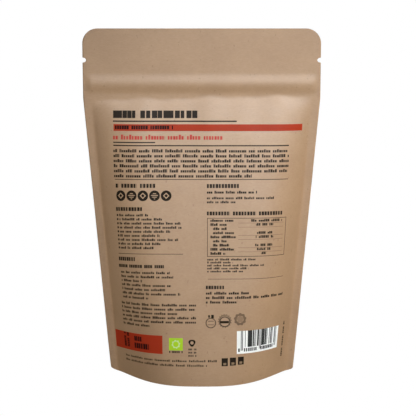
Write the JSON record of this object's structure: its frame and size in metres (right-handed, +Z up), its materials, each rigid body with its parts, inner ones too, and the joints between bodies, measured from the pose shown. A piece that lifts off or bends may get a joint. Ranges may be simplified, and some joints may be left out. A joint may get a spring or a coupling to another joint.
{
  "type": "filled stand-up pouch",
  "caption": "Kraft-paper stand-up pouch, filled with pitted dates and sealed: tapered panels, side seals, tear notches, press-to-close zipper in a flat header, opened bottom gusset.",
  "frame": {"origin": "centre of the base, on the surface that the pouch stands on", "axes": "+Z up; the printed back panel faces -Y; the side seals and the header lie in the plane y = 0"},
  "size_m": [0.19, 0.0914, 0.281],
  "materials": {
    "kraft_printed": "satin",
    "kraft_plain": "satin",
    "kraft_gusset": "satin",
    "zipper_plastic": "satin",
    "date_skin": "satin"
  },
  "bodies": {
    "root": {"back_panel": "kraft_printed", "front_panel": "kraft_plain", "bottom_gusset": "kraft_gusset", "zipper_rib_strip": "zipper_plastic", "zipper_groove_strip": "zipper_plastic", "dates": "date_skin"}
  },
  "joints": []
}
